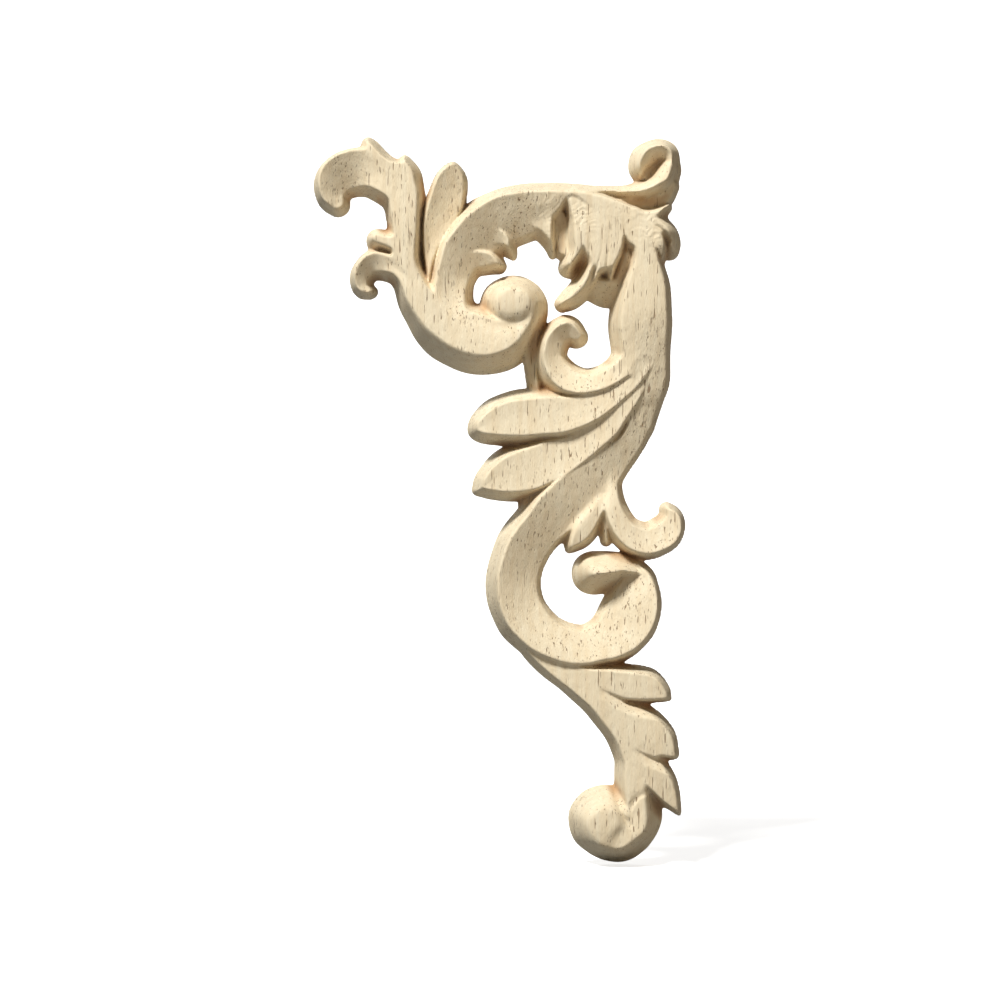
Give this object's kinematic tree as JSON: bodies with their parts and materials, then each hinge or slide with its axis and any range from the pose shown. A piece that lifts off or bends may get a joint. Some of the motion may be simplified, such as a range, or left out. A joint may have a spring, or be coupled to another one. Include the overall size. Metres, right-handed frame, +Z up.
{
  "type": "carved corner onlay",
  "caption": "Carved wooden corner onlay with acanthus scrolls, hooks and leaves in relief on a flat back, glued or pinned to a panel, door or frame.",
  "frame": {"origin": "on the flat back, behind the middle of the stem", "axes": "+Z up along the onlay's height, +X to the right as seen from the front, +Y out of the flat back, so the carving faces -Y"},
  "size_m": [0.1023, 0.0136, 0.1997],
  "materials": {
    "wood": "bare pale hardwood, carved and lightly sanded, unpainted and unoiled"
  },
  "bodies": {
    "root": {"corner_onlay": "wood"}
  },
  "joints": []
}
